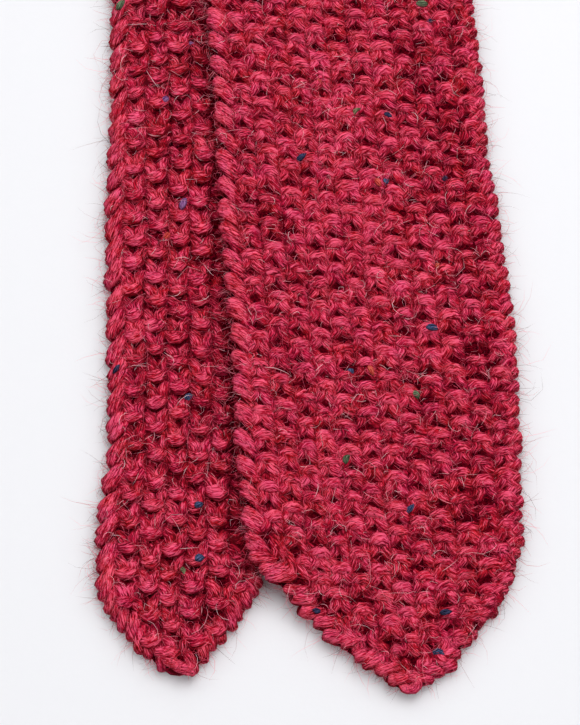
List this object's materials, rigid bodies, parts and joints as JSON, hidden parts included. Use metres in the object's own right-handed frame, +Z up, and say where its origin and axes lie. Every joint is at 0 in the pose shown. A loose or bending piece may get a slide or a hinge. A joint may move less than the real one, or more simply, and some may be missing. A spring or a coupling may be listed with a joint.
{
  "type": "knitted necktie",
  "caption": "Hand-knitted seed-stitch necktie with pointed ends, folded over at the neckband and laid flat with the wide blade partly on the narrow tail.",
  "frame": {"origin": "on the surface the tie lies on, under the middle of the laid tie", "axes": "+Y from the pointed ends to the fold at the neckband, +X from the tail to the blade, +Z up"},
  "size_m": [0.0954, 0.6986, 0.0126],
  "materials": {
    "wool": "fluffy crimson tweed wool"
  },
  "bodies": {
    "root": {"knitted_strip": "wool"}
  },
  "joints": []
}
